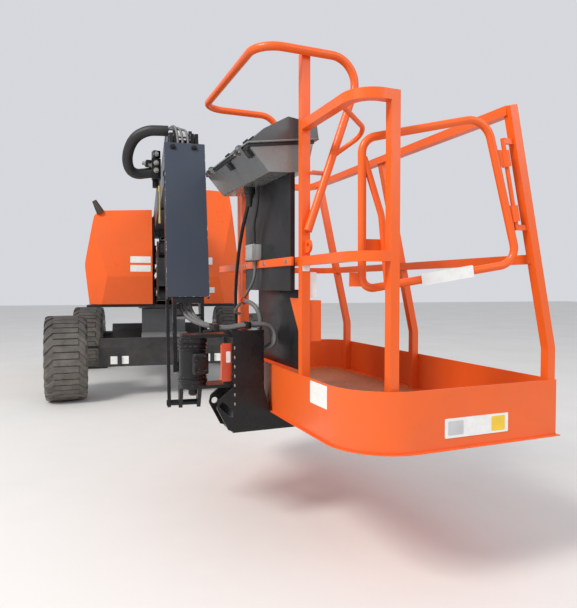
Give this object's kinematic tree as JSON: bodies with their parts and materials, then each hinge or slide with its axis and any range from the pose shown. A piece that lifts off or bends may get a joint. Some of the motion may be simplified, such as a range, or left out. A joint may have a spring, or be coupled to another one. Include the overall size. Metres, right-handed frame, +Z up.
{
  "type": "articulating boom lift",
  "caption": "Self-propelled articulating boom lift with folding risers, telescoping boom, jib and guarded work platform on four wheels.",
  "frame": {"origin": "middle of the whole machine's bounding box, on the ground", "axes": "+Z up, +Y from the platform end to the counterweight end of the machine, +X to the machine's left"},
  "size_m": [2.563, 6.9659, 2.2349],
  "materials": {
    "ballast_iron": "painted",
    "black_plastic": "matte",
    "bluegrey_paint": "satin",
    "dark_paint": "satin",
    "engine_alloy": "cast",
    "floor_alloy": "satin",
    "grey_paint": "satin",
    "hood_shell": "gloss",
    "orange_paint": "gloss, weathered",
    "rim_paint": "satin",
    "rod_chrome": "polished",
    "tank_plastic": "matte",
    "tyre": "matte"
  },
  "bodies": {
    "chassis": {"chassis_frame": "grey_paint", "slew_ring": "dark_paint", "front_axle": "dark_paint", "rear_axle": "dark_paint"},
    "turntable": {"turntable_deck": "dark_paint", "riser_bracket": "dark_paint", "bulkhead_left": "dark_paint", "bulkhead_right": "dark_paint", "counterweight": "ballast_iron", "engine_block": "engine_alloy", "fluid_tanks": "tank_plastic"},
    "hood_right": {"hood_right": "hood_shell", "exhaust_pipe": "dark_paint"},
    "jib": {"jib_boom": "bluegrey_paint", "jib_cover": "bluegrey_paint"},
    "platform": {"platform_support": "dark_paint", "platform_base": "floor_alloy", "guardrail": "orange_paint", "guard_hoop": "orange_paint", "console_box": "black_plastic", "console_panel": "black_plastic", "manual_box": "orange_paint"},
    "wheel_front_left": {"rim_front_left": "rim_paint", "tyre_front_left": "tyre"},
    "wheel_rear_left": {"rim_rear_left": "rim_paint", "tyre_rear_left": "tyre"},
    "wheel_front_right": {"rim_front_right": "rim_paint", "tyre_front_right": "tyre"},
    "wheel_rear_right": {"rim_rear_right": "rim_paint", "tyre_rear_right": "tyre"},
    "tie_rod": {"tie_rod": "dark_paint"},
    "hood_left": {"hood_left": "hood_shell"},
    "riser_lower": {"riser_lower": "dark_paint"},
    "link_lower": {"link_lower": "dark_paint"},
    "mid_frame": {"mid_frame": "dark_paint"},
    "riser_upper": {"riser_upper": "dark_paint"},
    "link_upper": {"link_upper": "dark_paint"},
    "upright": {"upright": "dark_paint"},
    "riser_ram_barrel": {"riser_ram_barrel": "dark_paint"},
    "riser_ram_rod": {"riser_ram_rod": "rod_chrome"},
    "main_boom": {"main_boom": "bluegrey_paint"},
    "boom_ram_barrel": {"boom_ram_barrel": "dark_paint"},
    "boom_ram_rod": {"boom_ram_rod": "rod_chrome"},
    "fly_boom": {"fly_boom": "bluegrey_paint"},
    "level_ram_barrel": {"level_ram_barrel": "dark_paint"},
    "level_ram_rod": {"level_ram_rod": "rod_chrome"},
    "nose_crank": {"nose_crank": "bluegrey_paint"},
    "jib_ram_barrel": {"jib_ram_barrel": "dark_paint"},
    "jib_ram_rod": {"jib_ram_rod": "rod_chrome"},
    "level_bar": {"level_bar": "bluegrey_paint"},
    "rotator_housing": {"rotator_housing": "bluegrey_paint"},
    "console_lid": {"console_lid": "black_plastic"},
    "gate": {"gate": "orange_paint"},
    "knuckle_left": {"knuckle_left": "dark_paint"},
    "knuckle_right": {"knuckle_right": "dark_paint"}
  },
  "joints": [
    {"name": "swing", "type": "hinge", "parent": "chassis", "child": "turntable", "pos_m": [-0.07095, 1.884, 0.9], "axis": [0, 0, 1], "range_deg": [-177.5, 177.5]},
    {"name": "steer_left", "type": "hinge", "parent": "chassis", "child": "knuckle_left", "pos_m": [0.76905, 0.704, 0.419], "axis": [0, 0, 1], "range_deg": [-39, 25]},
    {"name": "roll_front_left", "type": "hinge", "parent": "knuckle_left", "child": "wheel_front_left", "pos_m": [0.90106, 0.72021, 0.419], "axis": [0.9925, 0.1219, 0], "continuous": true},
    {"name": "roll_rear_left", "type": "hinge", "parent": "chassis", "child": "wheel_rear_left", "pos_m": [0.90205, 3.064, 0.419], "axis": [1, 0, 0], "continuous": true},
    {"name": "steer_right", "type": "hinge", "parent": "chassis", "child": "knuckle_right", "pos_m": [-0.91095, 0.704, 0.419], "axis": [0, 0, 1], "range_deg": [-39, 25]},
    {"name": "roll_front_right", "type": "hinge", "parent": "knuckle_right", "child": "wheel_front_right", "pos_m": [-1.04296, 0.6878, 0.419], "axis": [0.9925, 0.1219, 0], "continuous": true},
    {"name": "roll_rear_right", "type": "hinge", "parent": "chassis", "child": "wheel_rear_right", "pos_m": [-1.04395, 3.064, 0.419], "axis": [1, 0, 0], "continuous": true},
    {"name": "tie_rod_slide", "type": "slide", "parent": "chassis", "child": "tie_rod", "axis": [1, 0, 0], "range_m": [-0.05, 0.075]},
    {"name": "hood_left_open", "type": "hinge", "parent": "turntable", "child": "hood_left", "pos_m": [0.07905, 1.884, 2.195], "axis": [0, -1, 0], "range_deg": [0, 60]},
    {"name": "hood_right_open", "type": "hinge", "parent": "turntable", "child": "hood_right", "pos_m": [-0.22095, 1.884, 1.935], "axis": [0, 1, 0], "range_deg": [0, 60]},
    {"name": "riser_lift", "type": "hinge", "parent": "turntable", "child": "riser_lower", "pos_m": [-0.07095, 2.644, 1.06], "axis": [-1, 0, 0], "range_deg": [0, 68]},
    {"name": "link_lower_swing", "type": "hinge", "parent": "turntable", "child": "link_lower", "pos_m": [-0.07095, 2.774, 1.21], "axis": [-1, 0, 0], "range_deg": [-0.5, 68.5]},
    {"name": "mid_frame_level", "type": "hinge", "parent": "riser_lower", "child": "mid_frame", "pos_m": [-0.07095, 0.504, 1.06], "axis": [-1, 0, 0], "range_deg": [-68.5, 0.5]},
    {"name": "riser_upper_lift", "type": "hinge", "parent": "mid_frame", "child": "riser_upper", "pos_m": [-0.07095, 0.384, 1.49], "axis": [-1, 0, 0], "range_deg": [-68.5, 0.5]},
    {"name": "link_upper_swing", "type": "hinge", "parent": "mid_frame", "child": "link_upper", "pos_m": [-0.07095, 0.514, 1.34], "axis": [-1, 0, 0], "range_deg": [-68.5, 0.5]},
    {"name": "upright_level", "type": "hinge", "parent": "riser_upper", "child": "upright", "pos_m": [-0.07095, 2.584, 1.49], "axis": [-1, 0, 0], "range_deg": [-0.5, 68.5]},
    {"name": "riser_ram_swing", "type": "hinge", "parent": "mid_frame", "child": "riser_ram_barrel", "pos_m": [-0.07095, 0.424, 1.21], "axis": [-1, 0, 0], "range_deg": [-58.88, 0.5]},
    {"name": "riser_ram_stroke", "type": "slide", "parent": "riser_ram_barrel", "child": "riser_ram_rod", "axis": [0, 0.9759, 0.2183], "range_m": [-0.002, 0.2835]},
    {"name": "main_lift", "type": "hinge", "parent": "upright", "child": "main_boom", "pos_m": [-0.07095, 2.674, 1.9], "axis": [-1, 0, 0], "range_deg": [0, 75]},
    {"name": "boom_ram_swing", "type": "hinge", "parent": "upright", "child": "boom_ram_barrel", "pos_m": [-0.07095, 2.484, 1.625], "axis": [-1, 0, 0], "range_deg": [-0.5, 75.5]},
    {"name": "boom_ram_stroke", "type": "slide", "parent": "boom_ram_barrel", "child": "boom_ram_rod", "axis": [0, -0.9988, 0.0483], "range_m": [-0.002, 0.414]},
    {"name": "fly_extend", "type": "slide", "parent": "main_boom", "child": "fly_boom", "axis": [0, -1, 0], "range_m": [-0.9, 1.2]},
    {"name": "nose_level", "type": "hinge", "parent": "fly_boom", "child": "nose_crank", "pos_m": [-0.07095, -2.076, 1.9], "axis": [-1, 0, 0], "range_deg": [-75.5, 0.5]},
    {"name": "level_ram_swing", "type": "hinge", "parent": "fly_boom", "child": "level_ram_barrel", "pos_m": [-0.07095, -1.376, 1.9], "axis": [-1, 0, 0], "range_deg": [-0.5, 0.78]},
    {"name": "level_ram_stroke", "type": "slide", "parent": "level_ram_barrel", "child": "level_ram_rod", "axis": [0, -0.996, 0.0898], "range_m": [-0.002, 0.0941]},
    {"name": "jib_lift", "type": "hinge", "parent": "nose_crank", "child": "jib", "pos_m": [-0.07095, -2.166, 1.9], "axis": [-1, 0, 0], "range_deg": [0, 144]},
    {"name": "level_bar_swing", "type": "hinge", "parent": "nose_crank", "child": "level_bar", "pos_m": [-0.07095, -2.15684, 1.72524], "axis": [-1, 0, 0], "range_deg": [-0.5, 144.5]},
    {"name": "head_level", "type": "hinge", "parent": "jib", "child": "rotator_housing", "pos_m": [-0.07095, -2.47658, 0.74089], "axis": [-1, 0, 0], "range_deg": [-144.5, 0.5]},
    {"name": "jib_ram_swing", "type": "hinge", "parent": "nose_crank", "child": "jib_ram_barrel", "pos_m": [-0.07095, -2.16024, 1.79015], "axis": [-1, 0, 0], "range_deg": [-0.5, 144.5]},
    {"name": "jib_ram_stroke", "type": "slide", "parent": "jib_ram_barrel", "child": "jib_ram_rod", "axis": [0, -0.3135, -0.9496], "range_m": [-0.002, 0.2202]},
    {"name": "platform_turn", "type": "hinge", "parent": "rotator_housing", "child": "platform", "pos_m": [-0.07095, -2.686, 0.69], "axis": [0, 0, 1], "range_deg": [-188, 0]},
    {"name": "lid_open", "type": "hinge", "parent": "platform", "child": "console_lid", "pos_m": [0.07062, -2.66585, 1.697], "axis": [0.1409, -0.99, 0], "range_deg": [0, 100]},
    {"name": "gate_swing", "type": "hinge", "parent": "platform", "child": "gate", "pos_m": [1.18168, -3.36831, 0.889], "axis": [-0.2193, -0.0312, 0.9752], "range_deg": [-70, 4]}
  ],
  "couplings": [
    {"joint": "steer_right", "follows": "steer_left", "ratio": 1},
    {"joint": "tie_rod_slide", "follows": "steer_left", "m_per_rad": -0.0808},
    {"joint": "link_lower_swing", "follows": "riser_lift", "ratio": 1},
    {"joint": "mid_frame_level", "follows": "riser_lift", "ratio": -1},
    {"joint": "riser_upper_lift", "follows": "riser_lift", "ratio": -1},
    {"joint": "link_upper_swing", "follows": "riser_lift", "ratio": -1},
    {"joint": "upright_level", "follows": "riser_lift", "ratio": 1},
    {"joint": "riser_ram_swing", "follows": "riser_lift", "ratio": -0.85859},
    {"joint": "riser_ram_stroke", "follows": "riser_lift", "m_per_rad": 0.23717},
    {"joint": "boom_ram_swing", "follows": "main_lift", "ratio": 1},
    {"joint": "boom_ram_stroke", "follows": "main_lift", "m_per_rad": 0.31471},
    {"joint": "nose_level", "follows": "main_lift", "ratio": -1},
    {"joint": "level_ram_swing", "follows": "main_lift", "ratio": 0.003769},
    {"joint": "level_ram_stroke", "follows": "main_lift", "m_per_rad": 0.070374},
    {"joint": "level_bar_swing", "follows": "jib_lift", "ratio": 1},
    {"joint": "head_level", "follows": "jib_lift", "ratio": -1},
    {"joint": "jib_ram_swing", "follows": "jib_lift", "ratio": 1},
    {"joint": "jib_ram_stroke", "follows": "jib_lift", "m_per_rad": 0.086818}
  ]
}
